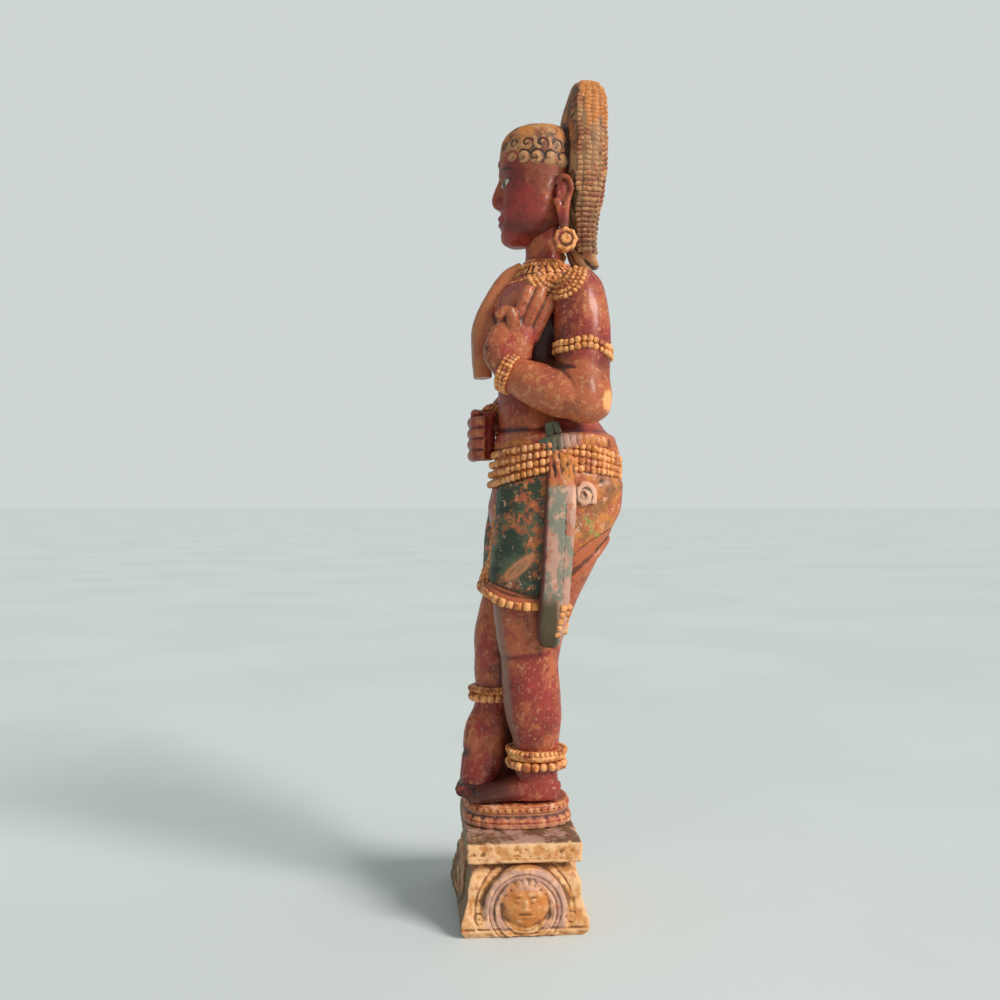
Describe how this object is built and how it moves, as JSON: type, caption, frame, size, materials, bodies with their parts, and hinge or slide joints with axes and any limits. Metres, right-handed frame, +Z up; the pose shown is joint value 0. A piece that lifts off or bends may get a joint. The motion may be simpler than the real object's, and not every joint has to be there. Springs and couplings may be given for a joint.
{
  "type": "apsara statue",
  "caption": "Painted wooden celestial dancer standing on a lotus pad over an oblong carved plinth, with jewelled cloth, a side sash and a tall upright hair roll",
  "frame": {"origin": "the centre of the plinth's flat underside, on the floor it stands on", "axes": "+Z up, the longest extent; the figure faces -Y; +X is the figure's own left side, the side the picture shows"},
  "size_m": [0.211, 0.1884, 0.9023],
  "materials": {
    "figure": "worn deep red paint under old varnish, with ochre gold jewels and dark green cloth",
    "plinth": "worn ochre, cream and violet-grey paint over brown wood"
  },
  "bodies": {
    "root": {"figure": "figure", "plinth": "plinth"}
  },
  "joints": []
}
